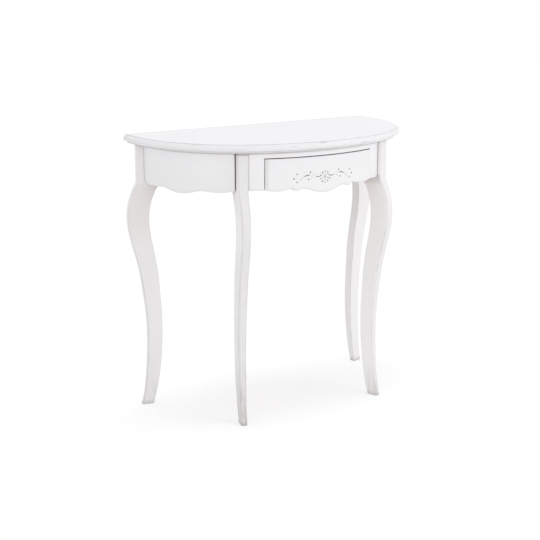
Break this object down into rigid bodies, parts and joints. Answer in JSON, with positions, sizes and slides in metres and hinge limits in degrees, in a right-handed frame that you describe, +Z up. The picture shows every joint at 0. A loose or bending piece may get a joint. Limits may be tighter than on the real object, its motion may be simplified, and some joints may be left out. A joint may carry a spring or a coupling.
{
  "type": "demilune table",
  "caption": "Half-round painted console table with cabriole legs, a scalloped bowed apron and a shallow drawer in the front that is pulled by its lower edge.",
  "frame": {"origin": "on the floor, under the middle of the top's box", "axes": "+X to the table's right as seen from the front, -Y to the front with the bowed edge and drawer, +Z up"},
  "size_m": [0.8064, 0.4, 0.75],
  "materials": {
    "white_paint": "satin white paint on wood, lightly rubbed through at edges",
    "bare_wood": "unpainted pale wood",
    "steel": "zinc-plated steel"
  },
  "bodies": {
    "table": {"top_board": "white_paint", "front_left_leg": "white_paint", "front_right_leg": "white_paint", "back_left_leg": "white_paint", "back_right_leg": "white_paint", "left_side_apron": "white_paint", "right_side_apron": "white_paint", "front_apron": "white_paint", "back_rail": "white_paint", "front_left_glue_block": "bare_wood", "front_right_glue_block": "bare_wood", "back_left_glue_block": "bare_wood", "back_right_glue_block": "bare_wood", "top_fixing_blocks": "bare_wood", "left_guide_board": "bare_wood", "right_guide_board": "bare_wood", "left_runner": "bare_wood", "right_runner": "bare_wood", "drawer_stops": "bare_wood", "apron_dowels": "bare_wood", "top_screws": "steel", "runner_screws": "steel"},
    "drawer": {"drawer_front": "white_paint", "drawer_left_side": "bare_wood", "drawer_right_side": "bare_wood", "drawer_back": "bare_wood", "drawer_bottom": "bare_wood", "drawer_dowels": "bare_wood"}
  },
  "joints": [
    {"name": "drawer_slide", "type": "slide", "parent": "table", "child": "drawer", "axis": [0, -1, 0], "range_m": [0, 0.18]}
  ]
}
